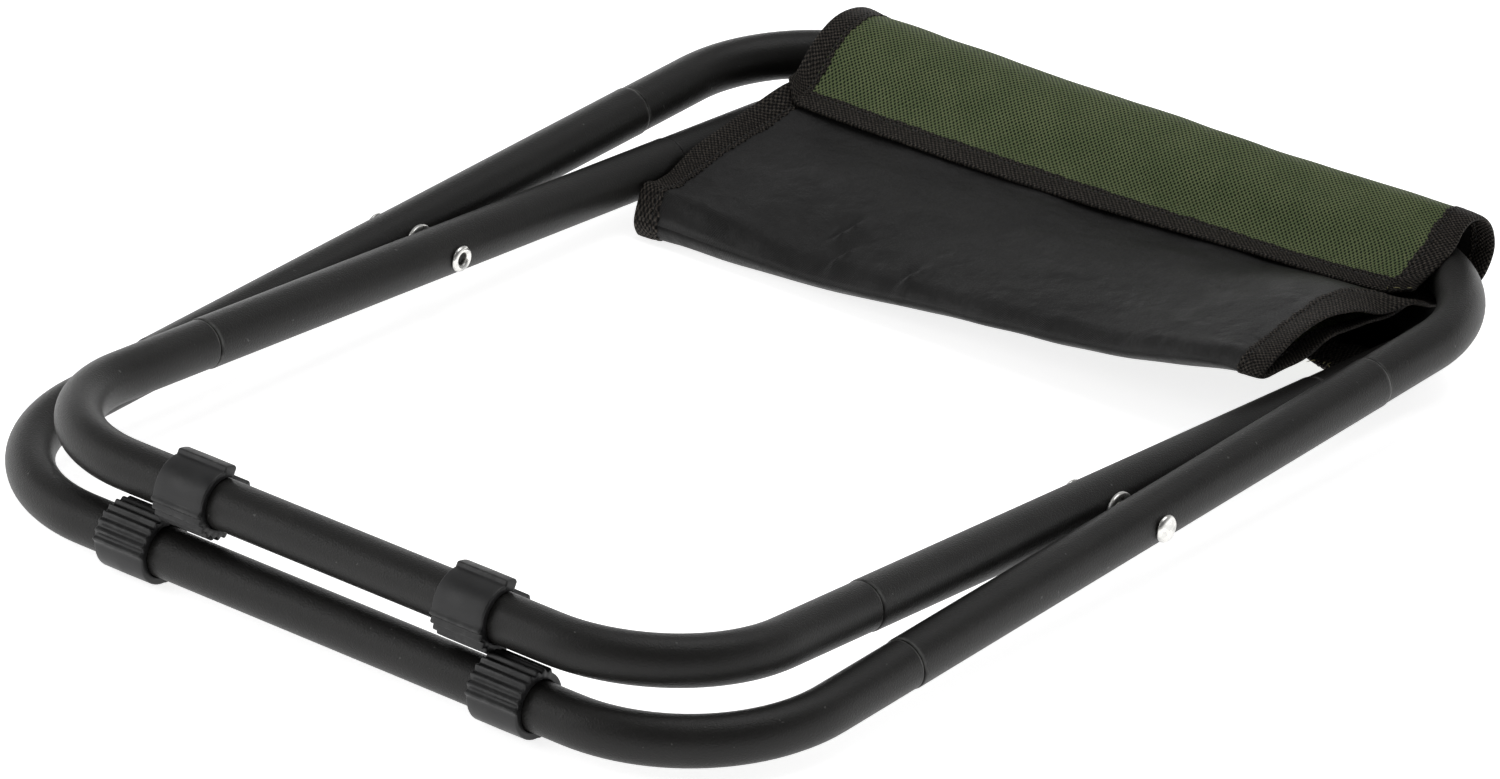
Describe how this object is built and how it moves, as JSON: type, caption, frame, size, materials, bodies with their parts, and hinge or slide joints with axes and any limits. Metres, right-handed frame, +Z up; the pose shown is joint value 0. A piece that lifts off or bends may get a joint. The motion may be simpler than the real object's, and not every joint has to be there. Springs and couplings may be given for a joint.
{
  "type": "folding camp stool",
  "caption": "Scissor-folding tube stool with a sewn cloth seat between two bars, shown folded flat on the floor.",
  "frame": {"origin": "centre of the folded stool's footprint, on the floor it lies on", "axes": "+Z up; X along the bars, +X to the stool's right; +Y from the foot end to the seat end"},
  "size_m": [0.3686, 0.4962, 0.0534],
  "materials": {
    "outer_tube": "fine-textured matt powder coat, warm black",
    "inner_tube": "fine-textured matt powder coat, warm black",
    "rivet": "bright zinc plate with handling marks",
    "spacer": "bright zinc plate",
    "foot_clip": "moulded black plastic, semi-matt, ribbed",
    "seat_cloth": "coarse plain-weave polyester, dark olive green",
    "seat_lining": "smooth black coated backing with a soft sheen",
    "edge_tape": "ribbed woven black binding tape"
  },
  "bodies": {
    "outer_frame": {"outer_foot_bar": "outer_tube", "outer_seat_bar": "outer_tube", "outer_left_tube": "outer_tube", "outer_right_tube": "outer_tube", "outer_left_foot_clip": "foot_clip", "outer_right_foot_clip": "foot_clip", "left_rivet": "rivet", "right_rivet": "rivet", "left_spacer": "spacer", "right_spacer": "spacer"},
    "inner_frame": {"inner_foot_bar": "inner_tube", "inner_seat_bar": "inner_tube", "inner_left_tube": "inner_tube", "inner_right_tube": "inner_tube", "inner_left_foot_clip": "foot_clip", "inner_right_foot_clip": "foot_clip"},
    "seat_front": {"seat_front_cloth": "seat_cloth", "seat_front_hem_tape": "edge_tape", "seat_front_left_tape": "edge_tape", "seat_front_right_tape": "edge_tape", "seat_crease": "seat_lining"},
    "seat_rear": {"seat_rear_cloth": "seat_cloth", "seat_rear_hem_tape": "edge_tape", "seat_rear_left_tape": "edge_tape", "seat_rear_right_tape": "edge_tape"}
  },
  "joints": [
    {"name": "fold", "type": "hinge", "parent": "outer_frame", "child": "inner_frame", "pos_m": [0, -0.00075, 0.02411], "axis": [-1, 0, 0], "range_deg": [0, 60.27], "deforming": ["seat_front_cloth", "seat_front_hem_tape", "seat_front_left_tape", "seat_front_right_tape", "seat_crease", "seat_rear_cloth", "seat_rear_hem_tape", "seat_rear_left_tape", "seat_rear_right_tape"]},
    {"name": "front_roll", "type": "hinge", "parent": "outer_frame", "child": "seat_front", "pos_m": [0, 0.22995, 0.03579], "axis": [1, 0, 0], "range_deg": [0, 59.14]},
    {"name": "rear_roll", "type": "hinge", "parent": "inner_frame", "child": "seat_rear", "pos_m": [0, 0.22596, 0.01262], "axis": [-1, 0, 0], "range_deg": [0, 60.68]}
  ],
  "couplings": [
    {"joint": "front_roll", "follows": "fold", "ratio": 0.98049},
    {"joint": "rear_roll", "follows": "fold", "ratio": 1.006}
  ]
}
